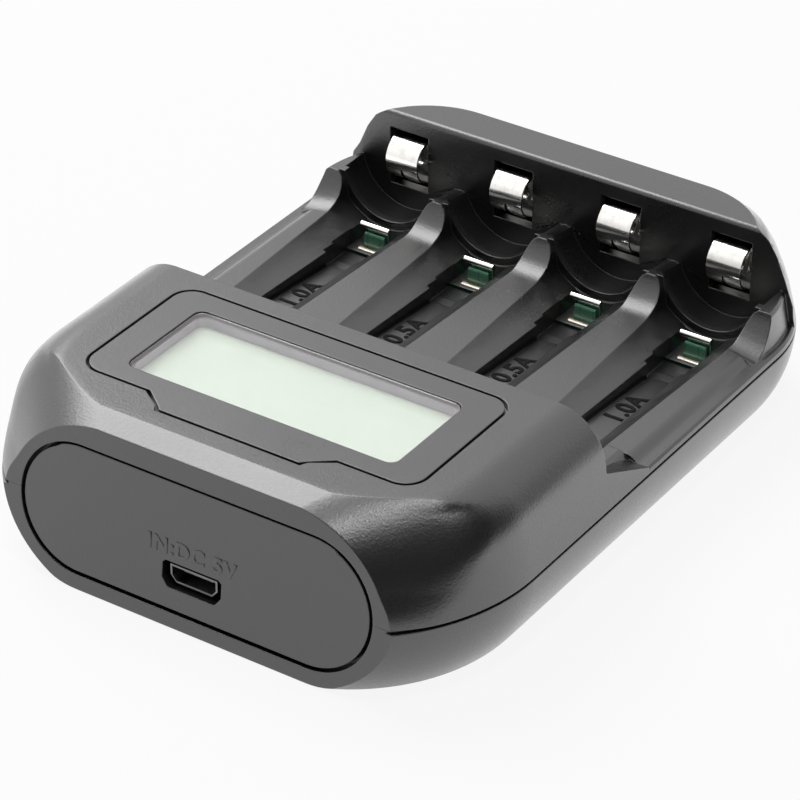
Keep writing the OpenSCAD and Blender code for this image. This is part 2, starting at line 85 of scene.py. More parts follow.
class Graph:
    """Wires shader nodes in one node tree."""

    def __init__(self, tree: NodeTree) -> None:
        """Starts from an empty tree."""
        self.tree = tree
        tree.nodes.clear()

    def feed(self, node: Node, inputs: dict[Any, Any]) -> None:
        """Sets or links a node's inputs.

        Args:
            node: the node.
            inputs: socket name or number to a value, or to the output socket that feeds it.
        """
        for key, value in inputs.items():
            if isinstance(value, NodeSocket):
                self.tree.links.new(value, node.inputs[key])
            else:
                node.inputs[key].default_value = value

    def add(self, kind: str, inputs: dict[Any, Any] | None = None, **settings: Any) -> Node:
        """Adds one node.

        Args:
            kind: the node's type, without the ShaderNode prefix.
            inputs: what feeds it, as for feed().
            settings: properties of the node itself.

        Returns:
            The new node.
        """
        node = self.tree.nodes.new("ShaderNode" + kind)
        for key, value in settings.items():
            setattr(node, key, value)
        self.feed(node, inputs or {})
        return node

    def effect(self, tree: NodeTree, **inputs: Any) -> Node:
        """Places a shared effect, given its node group and what feeds it."""
        return self.add("Group", inputs, node_tree=tree)

    def math(self, operation: str, a: Any, b: Any = 0.0) -> NodeSocket:
        """Adds a Math node for two values or sockets."""
        return self.add("Math", {0: a, 1: b}, operation=operation).outputs[0]

    def times(self, a: Any, b: Any) -> NodeSocket:
        """Multiplies two values or sockets."""
        return self.math("MULTIPLY", a, b)

    def noise(self, place: Any, scale: Any, detail: float, rough: float = 0.5, warp: float = 0.0) -> NodeSocket:
        """Adds a noise texture."""
        return self.add("TexNoise", {"Vector": place, "Scale": scale, "Detail": detail, "Roughness": rough,
                                     "Distortion": warp}).outputs[0]

    def blend(self, amount: Any, a: Any, b: Any) -> NodeSocket:
        """Mixes two colours by the share of the second."""
        return self.add("Mix", {0: amount, 6: a, 7: b}, data_type="RGBA").outputs[2]

    def spread(self, value: Any, low: float, high: float, to_low: float, to_high: float) -> NodeSocket:
        """Maps the range from low to high to another, held at its ends."""
        return self.add("MapRange", {0: value, 1: low, 2: high, 3: to_low, 4: to_high}).outputs[0]

    def mixed(self, amount: Any, a: Node, b: Node) -> Node:
        """Mixes two shaders by the share of the second."""
        return self.add("MixShader", {0: amount, 1: a.outputs[0], 2: b.outputs[0]})


class Effects:
    """The shader effects that several finishes share, each built once as a node group."""

    @staticmethod
    def _group(name: str, takes: dict[str, float | None],
               gives: dict[str, str]) -> tuple[Graph, Node, Node]:
        """Starts a node group.

        Args:
            name: the group's name.
            takes: input name to default, or to None for a place.
            gives: output name to socket type.

        Returns:
            Its graph, and the nodes of its inputs and of its outputs.
        """
        tree = bpy.data.node_groups.new(name, "ShaderNodeTree")
        for label, value in takes.items():
            kind = "NodeSocketVector" if value is None else "NodeSocketFloat"
            socket = tree.interface.new_socket(label, in_out="INPUT", socket_type=kind)
            if value is not None:
                socket.default_value = value
        for label, kind in gives.items():
            tree.interface.new_socket(label, in_out="OUTPUT", socket_type="NodeSocket" + kind)
        graph = Graph(tree)
        return graph, tree.nodes.new("NodeGroupInput"), tree.nodes.new("NodeGroupOutput")

    @cached_property
    def spark_grain(self) -> NodeTree:
        """The pitted face of a spark-eroded mould, and the faint clouding over it.

        Returns:
            The node group.
        """
        graph, source, sink = self._group("spark grain", {"Vector": None, "Pitch": 6000.0},
                                          {"Height": "Float", "Cloud": "Float"})
        place, pitch = source.outputs["Vector"], source.outputs["Pitch"]
        fine = graph.noise(place, pitch, 3.0, 0.65)
        pits = graph.add("TexVoronoi", {"Vector": place, "Scale": graph.times(pitch, 0.7)}, feature="SMOOTH_F1")
        height = graph.math("ADD", graph.times(fine, 0.6), graph.times(pits.outputs[0], 0.4))
        graph.feed(sink, {"Height": height, "Cloud": graph.noise(place, graph.times(pitch, 0.012), 4.0, 0.6)})
        return graph.tree

    @cached_property
    def edge_round(self) -> NodeTree:
        """The small radius of a moulded or stamped edge, and where it is.

        Returns:
            The node group.
        """
        graph, source, sink = self._group("edge round", {"Radius": 0.0002}, {"Normal": "Vector", "Edge": "Float"})
        bevel = graph.add("Bevel", {"Radius": source.outputs["Radius"]}, samples=6)
        true = graph.add("NewGeometry")
        same = graph.add("VectorMath", {0: bevel.outputs[0], 1: true.outputs["Normal"]}, operation="DOT_PRODUCT")
        edge = graph.spread(same.outputs["Value"], 0.995, 0.85, 0.0, 1.0)
        graph.feed(sink, {"Normal": bevel.outputs[0], "Edge": edge})
        return graph.tree

    @cached_property
    def handling(self) -> NodeTree:
        """Faint smears and rubbed places left by hands.

        Returns:
            The node group.
        """
        graph, source, sink = self._group("handling", {"Vector": None, "Amount": 1.0}, {"Smear": "Float"})
        place = source.outputs["Vector"]
        broad = graph.spread(graph.noise(place, 38.0, 5.0, 0.55, 0.6), 0.42, 0.72, 0.0, 1.0)
        fine = graph.spread(graph.noise(place, 420.0, 3.0), 0.3, 0.7, 0.5, 1.0)
        graph.feed(sink, {"Smear": graph.times(graph.times(broad, fine), source.outputs["Amount"])})
        return graph.tree

    @cached_property
    def rolled_sheet(self) -> NodeTree:
        """The drawn lines and spotting of plated sheet metal.

        Returns:
            The node group.
        """
        graph, source, sink = self._group("rolled sheet", {"Vector": None}, {"Lines": "Float", "Spots": "Float"})
        place = source.outputs["Vector"]
        stretched = graph.add("Mapping", {"Vector": place, "Scale": (1.0, 0.06, 0.06)})
        lines = graph.noise(stretched.outputs[0], 5200.0, 2.0)
        spots = graph.spread(graph.noise(place, 900.0, 4.0, 0.6), 0.5, 0.75, 0.0, 1.0)
        graph.feed(sink, {"Lines": lines, "Spots": spots})
        return graph.tree


EFFECTS = Effects()


class MaterialGraph(Graph):
    """A new material's nodes: a Principled BSDF that feeds its output, and the place on the object."""

    def __init__(self, name: str) -> None:
        """Starts the material.

        Args:
            name: the finish's name.
        """
        self.material = bpy.data.materials.new(name)
        self.material.use_nodes = True
        super().__init__(self.material.node_tree)
        self.shader = self.add("BsdfPrincipled")
        self.output = self.add("OutputMaterial", {"Surface": self.shader.outputs[0]})
        self.place = self.add("TexCoord").outputs["Object"]

    def coated(self, inputs: dict[str, Any]) -> Material:
        """Feeds the Principled BSDF and hands over the material."""
        self.feed(self.shader, inputs)
        return self.material

    def bumped(self, height: NodeSocket, depth: float, edge: Node,
               strength: float = 1.0) -> NodeSocket:
        """The normal of a relief, of a depth in metres, over the rounded edges of an edge node."""
        return self.add("Bump", {"Strength": strength, "Distance": depth, "Height": height,
                                 "Normal": edge.outputs["Normal"]}).outputs[0]


def shade(colour: Colour, factor: float = 1.0) -> tuple[float, float, float, float]:
    """The colour times a factor, with full alpha."""
    return (colour[0] * factor, colour[1] * factor, colour[2] * factor, 1.0)


@dataclass(frozen=True)
class Finish:
    """What every finish has.

    Attributes:
        name: its name.
    """

    name: str

    def material(self) -> Material:
        """Builds the material, each finish in its own way."""
        raise NotImplementedError


@dataclass(frozen=True)
class Moulding(Finish):
    """A moulded plastic with a spark-eroded face. Lengths are in metres."""

    colour: Colour
    roughness: float
    pitch: float = 4200.0  # grains to the metre
    relief: float = 0.000034
    edge: float = 0.00025
    smear: float = 0.06
    ior: float = 1.8
    clouds: Couple = (0.93, 1.07)  # darkest and lightest share of the colour
    wear: Couple = (0.35, 1.5)  # how far edges are rubbed, share of the colour there
    glint: float = 0.04  # how far the sheen differs between pits and peaks

    def material(self) -> Material:
        """Builds the material.

        Returns:
            The material.
        """
        graph = MaterialGraph(self.name)
        grain = graph.effect(EFFECTS.spark_grain, Vector=graph.place, Pitch=self.pitch)
        edge = graph.effect(EFFECTS.edge_round, Radius=self.edge)
        hands = graph.effect(EFFECTS.handling, Vector=graph.place, Amount=self.smear)
        cloud = graph.spread(grain.outputs["Cloud"], 0.3, 0.7, 0.0, 1.0)
        body = graph.blend(cloud, *(shade(self.colour, share) for share in self.clouds))
        worn = graph.times(edge.outputs["Edge"], self.wear[0])
        face = graph.blend(worn, body, shade(self.colour, self.wear[1]))
        sheen = graph.spread(grain.outputs["Height"], 0.2, 0.8, self.roughness + self.glint,
                             self.roughness - self.glint)
        sheen = graph.math("ADD", sheen, graph.times(hands.outputs["Smear"], -1.0))
        return graph.coated({"Base Color": face, "Roughness": sheen, "IOR": self.ior,
                             "Normal": graph.bumped(grain.outputs["Height"], self.relief, edge)})


@dataclass(frozen=True)
class Plating(Finish):
    """A plated or tinned metal, with drawn lines and spots. Lengths are in metres."""

    colour: Colour
    roughness: float
    tarnish: Colour = (0.36, 0.33, 0.28)
    spotting: float = 0.25
    dulling: float = 0.3  # how much duller a spot is
    drawn: Couple = (0.8, 1.25)  # least and greatest share of the roughness along the lines
    relief: float = 0.000002
    edge: float = 0.00008

    def material(self) -> Material:
        """Builds the material.

        Returns:
            The material.
        """
        graph = MaterialGraph(self.name)
        sheet = graph.effect(EFFECTS.rolled_sheet, Vector=graph.place)
        edge = graph.effect(EFFECTS.edge_round, Radius=self.edge)
        spots = graph.times(sheet.outputs["Spots"], self.spotting)
        face = graph.blend(spots, shade(self.colour), shade(self.tarnish))
        sheen = graph.spread(sheet.outputs["Lines"], 0.3, 0.7, *(self.roughness * share for share in self.drawn))
        sheen = graph.math("ADD", sheen, graph.times(spots, self.dulling))
        return graph.coated({"Base Color": face, "Roughness": sheen, "Metallic": 1.0,
                             "Normal": graph.bumped(sheet.outputs["Lines"], self.relief, edge)})


@dataclass(frozen=True)
class Board(Finish):
    """Solder resist over copper on glass fibre. Lengths are in metres, and track is tracks to the metre."""

    resist: Colour
    over_copper: Colour
    track: float = 420.0
    weave: float = 0.12
    relief: float = 0.00003
    edge: float = 0.00008
    smear: float = 0.15
    roughness: float = 0.22

    def material(self) -> Material:
        """Builds the material.

        Returns:
            The material.
        """
        graph = MaterialGraph(self.name)
        tracks = graph.add("TexBrick", {"Vector": graph.place, "Scale": self.track, "Mortar Size": 0.03,
                                        "Mortar Smooth": 0.2, "Brick Width": 0.9, "Row Height": 0.42})
        copper = graph.spread(tracks.outputs["Fac"], 0.2, 0.8, 1.0, 0.0)
        fibre = graph.add("TexWave", {"Vector": graph.place, "Scale": 900.0, "Distortion": 1.0})
        edge = graph.effect(EFFECTS.edge_round, Radius=self.edge)
        hands = graph.effect(EFFECTS.handling, Vector=graph.place, Amount=self.smear)
        cover = graph.blend(copper, shade(self.resist), shade(self.over_copper))
        woven = graph.blend(graph.times(fibre.outputs[1], self.weave), cover, shade(self.resist, 0.6))
        return graph.coated({"Base Color": woven, "Coat Weight": 0.3, "Coat Roughness": 0.1,
                             "Roughness": graph.math("ADD", hands.outputs["Smear"], self.roughness),
                             "Normal": graph.bumped(copper, self.relief, edge, strength=0.6)})


@dataclass(frozen=True)
class ClearPlastic(Finish):
    """Clear moulded plastic that lets the light through to what it covers."""

    tint: Colour
    roughness: float
    smear: float = 0.05
    ior: float = 1.49

    def material(self) -> Material:
        """Builds the material.

        Returns:
            The material.
        """
        graph = MaterialGraph(self.name)
        hands = graph.effect(EFFECTS.handling, Vector=graph.place, Amount=self.smear)
        clear = graph.add("BsdfTransparent", {"Color": shade(self.tint)})
        lit = graph.mixed(graph.add("LightPath").outputs["Is Shadow Ray"], graph.shader, clear)
        graph.feed(graph.output, {"Surface": lit.outputs[0]})
        return graph.coated({"Base Color": shade(self.tint), "Transmission Weight": 1.0, "IOR": self.ior,
                             "Roughness": graph.math("ADD", hands.outputs["Smear"], self.roughness)})


@dataclass(frozen=True)
class DisplayCell(Finish):
    """Pale reflective display glass, with painted shade where its frame stands over it. Lengths are in metres."""

    pale: Colour
    # colour of the painted shade where the frame stands over the glass
    shaded: Colour
    middle: Couple  # centre of the open field
    reach: Couple  # its half sizes
    margin: float = 1.4 * MM  # width of its border of painted shade
    glow: float = 0.02  # strength of its own faint light
    gloss: float = 0.3

    def material(self) -> Material:
        """Builds the material.

        Returns:
            The material.
        """
        graph = MaterialGraph(self.name)
        axes = graph.add("SeparateXYZ", {0: graph.place})
        depth = []
        for axis in range(2):
            off = graph.math("ABSOLUTE", graph.math("SUBTRACT", axes.outputs[axis], self.middle[axis]))
            depth.append(graph.math("SUBTRACT", self.reach[axis], off))
        # painted shade: the field darkens towards its edges, under the frame
        border = graph.spread(graph.math("MINIMUM", *depth), 0.0, self.margin, 1.0, 0.0)
        flecks = graph.spread(graph.noise(graph.place, 60.0, 3.0), 0.35, 0.65, 0.0, 1.0)
        pale = graph.blend(flecks, shade(self.pale), shade(self.pale, 0.97))
        tone = graph.blend(graph.times(border, border), pale, shade(self.shaded))
        return graph.coated({"Base Color": tone, "Emission Color": tone, "Emission Strength": self.glow,
                             "Roughness": 0.3, "Specular IOR Level": self.gloss})


class Finishes:
    """Every finish of the charger, built when first used: one for each slot, and those of single pieces."""

    def __init__(self) -> None:
        """Names the finishes."""
        low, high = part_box("display_lens")
        middle, reach = (low + high) / 2, (high - low) / 2
        shell, plate = (0.010, 0.010, 0.0105), (0.012, 0.012, 0.0125)
        smooth = 0.000004
        self.styles: dict[Slot, Finish] = {
            Slot.CASE_UPPER: Moulding("upper case plastic", shell, 0.32),
            Slot.CASE_LOWER: Moulding("lower case plastic", shell, 0.32),
            Slot.CASE_PANEL: Moulding("end panel plastic", plate, 0.33),
            Slot.CASE_COVER: Moulding("cover plate plastic", plate, 0.32, relief=0.000020),
            Slot.CLEAR_LENS: ClearPlastic("clear lens", (0.98, 0.98, 0.98), 0.03),
            Slot.PALE_PLASTIC: Moulding("lilac frame plastic", (0.35, 0.315, 0.355), 0.5, relief=smooth),
            # the display's second colour is the painted shade under its frame
            Slot.LCD: DisplayCell("display glass", (0.43, 0.485, 0.415), (0.31, 0.285, 0.32),
                                  (middle.x, middle.y), (reach.x, reach.y)),
            Slot.WHITE_PLASTIC: Moulding("light box plastic", (0.78, 0.78, 0.77), 0.45, relief=smooth),
            Slot.TIN: Plating("tinned metal", (0.70, 0.69, 0.66), 0.28),
            Slot.BOARD_GREEN: Board("green solder resist", (0.022, 0.15, 0.08), (0.06, 0.27, 0.15)),
            Slot.CHIP_BLACK: Moulding("moulded epoxy", (0.022, 0.022, 0.023), 0.5),
            Slot.FERRITE: Moulding("sintered ferrite", (0.05, 0.05, 0.05), 0.6),
            Slot.CAPACITOR_CAN: Plating("capacitor can", (0.62, 0.62, 0.63), 0.3),
            Slot.RIBBON: Moulding("flat cable sheath", (0.52, 0.52, 0.49), 0.5),
            Slot.NICKEL: Plating("nickel strip", (0.80, 0.79, 0.76), 0.13),
            Slot.SCREW_STEEL: Plating("blackened screw steel", (0.20, 0.20, 0.21), 0.35),
        }
        self.shadowed_tin = Plating("shadowed tin", (0.16, 0.16, 0.16), 0.35)
        # near-black copy of the case plastic with little sheen: painted shade for the moulded ratings
        self.shade_painted_mark = Moulding("mark painted in shade", (0.008, 0.008, 0.008), 0.75, ior=1.2, relief=smooth)
        # a lighter copy of the board's colour, painted light, worn by the posts before the tabs
        self.lit_board = Board("solder resist painted light", (0.05, 0.20, 0.115), (0.12, 0.33, 0.21))
        self.solder = Plating("dull solder", (0.52, 0.47, 0.40), 0.4)
        self.pale_tongue = Moulding("pale tongue plastic", (0.50, 0.50, 0.49), 0.35, relief=smooth)
        self.ready: dict[str, Material] = {}

    def coat(self, piece: Object, slot: Slot, style: Finish | None) -> None:
        """Gives an object its finish.

        Args:
            piece: the object.
            slot: its material slot.
            style: a finish of its own, where it isn't the slot's.
        """
        finish = style or self.styles[slot]
        if finish.name not in self.ready:
            self.ready[finish.name] = finish.material()
        piece.data.materials.clear()
        piece.data.materials.append(self.ready[finish.name])


@dataclass
class SubAssembly:
    """What every sub-assembly can do: dress the solids it was packed with and add its own pieces.

    Attributes:
        finishes: the charger's finishes.
    """

    finishes: Finishes

    def dress(self, slot: Slot, *nodes: str, style: Finish | None = None) -> None:
        """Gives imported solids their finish.

        Args:
            slot: the material slot.
            nodes: names of the solids.
            style: a finish of their own, where it isn't the slot's.
        """
        for name in nodes:
            self.finishes.coat(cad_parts[name], slot, style)
            log.info("dressed %s as %s", name, slot.value)

    def add(self, piece: Object, slot: Slot, body: str = CASE, style: Finish | None = None) -> None:
        """Takes a new piece into the scene.

        Args:
            piece: the object, in place.
            slot: its material slot.
            body: the body that it moves with.
            style: a finish of its own, where it isn't the slot's.
        """
        self.finishes.coat(piece, slot, style)
        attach(piece, body)
        log.info("added %s on %s", piece.name, body)


def packed_form(node: str) -> BMesh:
    """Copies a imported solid's mesh and joins its doubled vertices.

    Args:
        node: the solid's name.

    Returns:
        The copy.
    """
    form = bmesh.new()
    form.from_mesh(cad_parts[node].data)
    bmesh.ops.remove_doubles(form, verts=form.verts, dist=2e-6)
    return form


def mesh_object(name: str, form: BMesh, smooth: bool = True,
                sharp: float | None = None) -> Object:
    """Turns a bmesh into an object of the scene.

    Args:
        name: the object's name.
        form: the mesh; it is freed.
        smooth: whether its faces are shaded smooth.
        sharp: the angle from which an edge between smooth faces stays sharp, if any does.

    Returns:
        The object.
    """
    for edge in form.edges if sharp else ():
        edge.smooth = len(edge.link_faces) == 2 and edge.calc_face_angle(0.0) < sharp
    mesh = bpy.data.meshes.new(name)
    bmesh.ops.recalc_face_normals(form, faces=form.faces)
    form.to_mesh(mesh)
    form.free()
    for face in mesh.polygons:
        face.use_smooth = smooth
    piece = bpy.data.objects.new(name, mesh)
    bpy.context.scene.collection.objects.link(piece)
    if sharp:
        piece.modifiers.new("even normals", "WEIGHTED_NORMAL").keep_sharp = True
    return piece


@dataclass(frozen=True)
class Ridge:
    """A section of Y and Z pairs run along X, its upper half drawn in at both ends. Sizes are in millimetres."""

    section: Pairs
    span: Couple
    draw: float = 0.12

    def build(self, name: str, place: Vector) -> Object:
        """Makes the ridge.

        Args:
            name: the object's name.
            place: the point that its sizes are measured from.

        Returns:
            The object.
        """
        form = bmesh.new()
        tall = max(z for _, z in self.section)
        rows = [[form.verts.new(place + Vector((end + side * self.draw * (z > tall / 2), y, z)) * MM)
                 for y, z in self.section] for end, side in zip(self.span, (1, -1))]
        for i, point in enumerate(rows[0]):
            after = (i + 1) % len(self.section)
            form.faces.new((point, rows[0][after], rows[1][after], rows[1][i]))
        for row in rows:
            form.faces.new(row)
        return mesh_object(name, form, smooth=False)


@dataclass(frozen=True)
class Mark:
    """Words moulded in relief on a flat place. Lengths are in metres."""

    words: str
    height: float
    relief: float
    place: Vector  # the middle of the words
    across: Vector  # direction of reading
    up: Vector  # direction of the letters' tops
    spacing: float = 1.1
    weight: float = 0.07 * MM  # how much bolder than the plain letters
    capitals: float = 0.72  # height of the font's capitals, as a share of its size
    rounding: float = 0.3  # share of the relief that its edges are rounded by

    def build(self, name: str) -> Object:
        """Makes the words as a mesh in place.

        Args:
            name: the object's name.

        Returns:
            The object.
        """
        text = bpy.data.curves.new(name + "_text", "FONT")
        text.body = self.words
        text.size = self.height / self.capitals
        text.align_x, text.align_y = "CENTER", "CENTER"
        text.space_character = self.spacing
        text.offset = self.weight
        text.extrude = self.relief / 2
        text.bevel_depth = self.relief * self.rounding
        text.bevel_resolution = 1
        text.resolution_u = 6
        writer = bpy.data.objects.new(name + "_text", text)
        bpy.context.scene.collection.objects.link(writer)
        bpy.context.view_layer.update()
        mesh = bpy.data.meshes.new_from_object(writer.evaluated_get(bpy.context.evaluated_depsgraph_get()))
        bpy.data.objects.remove(writer)
        normal = self.across.cross(self.up).normalized()
        turn = Matrix((self.across.normalized(), self.up.normalized(), normal)).transposed().to_4x4()
        mesh.transform(Matrix.Translation(self.place) @ turn)
        piece = bpy.data.objects.new(name, mesh)
        bpy.context.scene.collection.objects.link(piece)
        return piece


def held(value: float) -> float:
    """The value kept between 0 and 1, eased at both ends."""
    value = min(max(value, 0.0), 1.0)
    return value * value * (3 - 2 * value)


def size_at(pairs: Pairs, height: float) -> float:
    """Reads a profile at a height, straight between its points.

    Args:
        pairs: size and height pairs in order of height.
        height: where to read.

    Returns:
        The size at that height.
    """
    for (a, low), (b, high) in zip(pairs, pairs[1:]):
        if height <= high:
            return a + (b - a) * min(max((height - low) / (high - low), 0.0), 1.0)
    return pairs[-1][0]


@dataclass
class ShellForm:
    """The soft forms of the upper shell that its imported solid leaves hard.

    Sizes are in millimetres, with Y from the port end. Points are taken on the right half, and the left half
    follows. "Ahead" is the distance from the contact wall towards the port end. slope and horns are pairs of
    a size and a height, up the wall's back and up a horn's front.
    """

    half: float = 39.15
    length: float = 104.4
    parting: float = 12.0  # height of the parting line
    draft: float = math.radians(8)
    deck: float = 25.5  # height of the display block
    roll: float = 7.6  # radius along the top of the sides
    corner: Couple = (28.0, 21.3)  # plan radius of the front corners, Y of its centre
    corner_side: float = 8.0  # X where they start
    corner_past: float = 3.0  # how far past that centre they end
    apex: Couple = (-24.0, 15.53)  # Y and Z of the corner cones' point
    axis: Couple = (math.radians(24.6), math.radians(8.5))  # turn and dip of the right-hand cone
    rise: float = math.radians(18.1)  # slope of the brow between the cones
    lean: float = math.radians(7)  # of the port end's face
    soften: float = 1.3  # width of the blend between cone and roll
    crease: Triple = (0.12, 25.3, 1.2)  # its least width, height where it starts to widen, over what height
    swell: Triple = (0.8, 16.5, 4.5)  # how far the cones' feet stand out, height where that starts, over what
    rear: float = 20.0  # plan radius of the rear corners
    wall: Couple = (91.7, 26.3)  # start and height of the contact wall
    wall_end: float = 0.9  # width of its plain ends
    slope: Pairs = ((0.0, 12.0), (0.7, 15.5), (1.5, 18.5), (3.2, 22.8), (4.5, 25.0), (6.1, 26.3))
    rail: Couple = (37.2, 12.9)  # inner side and height of the side rails
    ramp: Couple = (12.3, 5.2)  # how far ahead they climb to the wall, over what length
    pitch: float = 18.0
    horn_zone: Triple = (10.7, 13.9, 17.9)  # how far ahead the horns start, heights that they lie between
    horn_reach: float = 4.0
    horn_front: float = 5.85  # how far ahead a horn's front ends
    packed_horn: Couple = (1.6, 0.139)  # half-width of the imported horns' top, its growth with depth
    horn_top: float = 17.8
    horns: Pairs = ((2.25, 13.95), (2.2, 15.0), (2.0, 16.0), (1.6, 17.0), (1.25, 17.4), (0.7, 17.8))
    ledge: Couple = (4.6, 16.9)  # how far ahead the ledge behind a horn starts, its height
    crown: Triple = (0.75, 0.45, 1.2)  # a horn's top: share of its width kept, fall of its sides, half-width
    facet: float = 0.9  # longest edge left on a front corner
    near: float = 0.05  # slack round these zones
    touch: float = 0.02  # slack at the parting line
    heading: Vector = field(init=False)
    opening: float = field(init=False)
    inset: float = field(init=False)

    def __post_init__(self) -> None:
        """Works out the cone and the roll."""
        turn, dip = self.axis
        self.heading = Vector((math.sin(turn) * math.cos(dip), math.cos(turn) * math.cos(dip), -math.sin(dip)))
        self.opening = math.asin(math.sin(self.rise) * math.cos(turn) * math.cos(dip)
                                 + math.cos(self.rise) * math.sin(dip)) + math.radians(0.1)
        self.inset = self._inset(self.deck)

    def _inset(self, top: float) -> float:
        """How far the axis of a roll lies inside the parting line, for the height that it rolls up to."""
        rise = top - self.roll * (1 - math.sin(self.draft)) - self.parting
        return rise * math.tan(self.draft) + self.roll * math.cos(self.draft) - 0.01

    def rolled(self, p: Vector) -> tuple[float, Vector]:
        """Measures a point against the block's rolled side.

        Args:
            p: the point.

        Returns:
            Its height over the side, and the way out of the side there.
        """
        radius, centre = self.corner
        flat = Vector((max(p.x - self.half + radius, 0.0), min(p.y - centre, 0.0)))
        reach = max(flat.length, 1e-6)
        across, up = reach - radius + self.inset, p.z - self.deck + self.roll
        lean = max(across, 0.0)
        face = Vector((lean, max(up, lean * math.tan(self.draft)))).normalized()
        away = flat / reach
        return (face.x * across + face.y * up - self.roll,
                Vector((face.x * away.x, face.x * away.y, face.y)))

    def coned(self, p: Vector) -> tuple[float, Vector]:
        """Measures a point against the corner cone.

        Args:
            p: the point.

        Returns:
            Its height over the cone, and the way out of the cone there.
        """
        off = p - Vector((0.0, *self.apex))
        run = off.dot(self.heading)
        side = off - run * self.heading
        span = max(side.length, 1e-6)
        height = (span - run * math.tan(self.opening)) * math.cos(self.opening)
        return height, side / span * math.cos(self.opening) - self.heading * math.sin(self.opening)

    def at_corner(self, p: Vector) -> bool:
        """Whether a point lies on the outside of a front corner."""
        within = (p.y < self.corner[1] + self.corner_past and p.x > self.corner_side
                  and p.z > self.parting - self.touch)
        return within and abs(max(self.rolled(p)[0], self.coned(p)[0])) < 0.08

    def softened(self, p: Vector) -> Vector:
        """Moves a point of a front corner to where roll and cone run into each other.

        Args:
            p: the point.

        Returns:
            Where it ends up.
        """
        on_face = abs(p.y - p.z * math.tan(self.lean)) < 0.03
        face = Vector((0.0, -math.cos(self.lean), math.sin(self.lean)))
        least, crest, widening = self.crease
        swelling, shoulder, depth = self.swell
        q = p.copy()
        for _ in range(6):
            (high, up), (cone, out) = self.rolled(q), self.coned(q)
            cone -= swelling * held((shoulder - q.z) / depth)
            reach = least + (self.soften - least) * held((crest - q.z) / widening)
            share = held(0.5 + 0.5 * (cone - high) / reach)
            overlap = max(reach - abs(cone - high), 0.0) / reach
            height = max(high, cone) + overlap * overlap * reach / 4
            way = (up * (1 - share) + out * share).normalized()
            if on_face:
                way = way - face * way.dot(face)
                height = height / max(way.length_squared, 0.2)
            if p.z < self.parting + self.touch:
                way.z = 0.0
            q = q - way * height
        return q

    def sloped(self, p: Vector) -> Vector:
        """Moves a point on the outside of the contact wall to the wall's sloping back.

        Args:
            p: the point.

        Returns:
            Where it ends up, or the point itself where it stays.
        """
        start, top = self.wall
        middle = self.half - self.rear
        flat = Vector((max(p.x - middle, 0.0), p.y - self.length + self.rear))
        low = top - self.roll
        if p.z < low + self.roll * math.sin(self.draft):
            old = (p.z - self.parting) * math.tan(self.draft)
        else:
            old = self._inset(top) - math.sqrt(max(self.roll ** 2 - (p.z - low) ** 2, 0.0))
        if abs(self.rear - flat.length - old) > 0.06:
            return p
        reach = self.rear - size_at(self.slope, p.z)
        if p.y < start + self.wall_end:
            return Vector((middle + math.sqrt(max(reach ** 2 - flat.y ** 2, 0.0)), p.y, p.z))
        flat = flat.normalized() * reach
        return Vector((middle + flat.x if p.x > middle else p.x, self.length - self.rear + flat.y, p.z))

    def narrowed(self, p: Vector) -> Vector:
        """Moves a point of a horn to the horn's soft form.

        Args:
            p: the point.

        Returns:
            Where it ends up, or the point itself where it stays.
        """
        start = self.wall[0]
        rib = round(p.x / self.pitch) * self.pitch
        off = p.x - rib
        outer = rib > self.pitch + 1
        if abs(off) > self.horn_reach or (outer and off > -0.3):
            return p
        if p.y < start - self.horn_front:
            slim, growth = self.packed_horn
            if abs(off) < slim + growth * (self.horn_top - p.z) ** 2 - 0.15:
                off = math.copysign(size_at(self.horns, p.z), off)
            return Vector((rib + off, p.y, p.z))
        if outer:
            return p
        ahead, level = self.ledge
        high = min(p.z, level) if p.y > start - ahead else p.z
        if p.z > self.horn_top - 0.1:
            kept, fall, wide = self.crown
            off *= kept
            high -= fall * min(abs(off) / wide, 1.0) ** 2
        return Vector((rib + off, p.y, high))

    def place(self, p: Vector) -> Vector:
        """Moves any point of the shell to its place in the finished form.

        Args:
            p: the point.

        Returns:
            Where it ends up, or the point itself where it stays.
        """
        start = self.wall[0]
        inner, level = self.rail
        ahead, run = self.ramp
        first, foot, top = self.horn_zone
        on_ramp = start - ahead - self.near < p.y < start - ahead + run + 2 * self.near
        if on_ramp and p.x > inner and p.z > level + self.near:
            return Vector((p.x, p.y, level + (p.z - level) * held((p.y - start + ahead) / run)))
        if start - first < p.y < start + self.near and foot < p.z < top:
            return self.narrowed(p)
        if p.y > start - self.near and p.z > self.parting + self.touch:
            return self.sloped(p)
        return self.softened(p) if self.at_corner(p) else p

    def build(self, name: str, form: BMesh) -> Object:
        """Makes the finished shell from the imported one.

        Args:
            name: the object's name.
            form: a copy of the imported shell's mesh.

        Returns:
            The object.
        """
        shift = Vector((0.0, self.length / 2, 0.0))

        def local(v: BMVert) -> Vector:
            """The vertex in millimetres, on the right half."""
            p = v.co * (1 / MM) + shift
            return Vector((abs(p.x), p.y, p.z))

        def on_tip(v: BMVert) -> bool:
            """Whether the vertex lies on the top of a horn."""
            p = local(v)
            return abs(p.z - self.horn_top) < 0.1 and -11.8 < p.y - self.wall[0] < 0.1

        tips = [e for e in form.edges if abs(e.verts[0].co.x - e.verts[1].co.x) > 1.5 * MM
                and all(on_tip(v) for v in e.verts)]
        bmesh.ops.subdivide_edges(form, edges=tips, cuts=5)
        for _ in range(4):
            outer = {v for v in form.verts if self.at_corner(local(v))}
            long = [e for e in form.edges if e.verts[0] in outer and e.verts[1] in outer
                    and e.calc_length() > self.facet * MM]
            if not long:
                break
            bmesh.ops.subdivide_edges(form, edges=long, cuts=1)
            bmesh.ops.triangulate(form, faces=[f for f in form.faces if len(f.verts) > 3])
        for v in form.verts:
            p = local(v)
            q = self.place(p)
            if q is not p:
                v.co = (Vector((math.copysign(q.x, v.co.x), q.y, q.z)) - shift) * MM
        return mesh_object(name, form, sharp=math.radians(15))


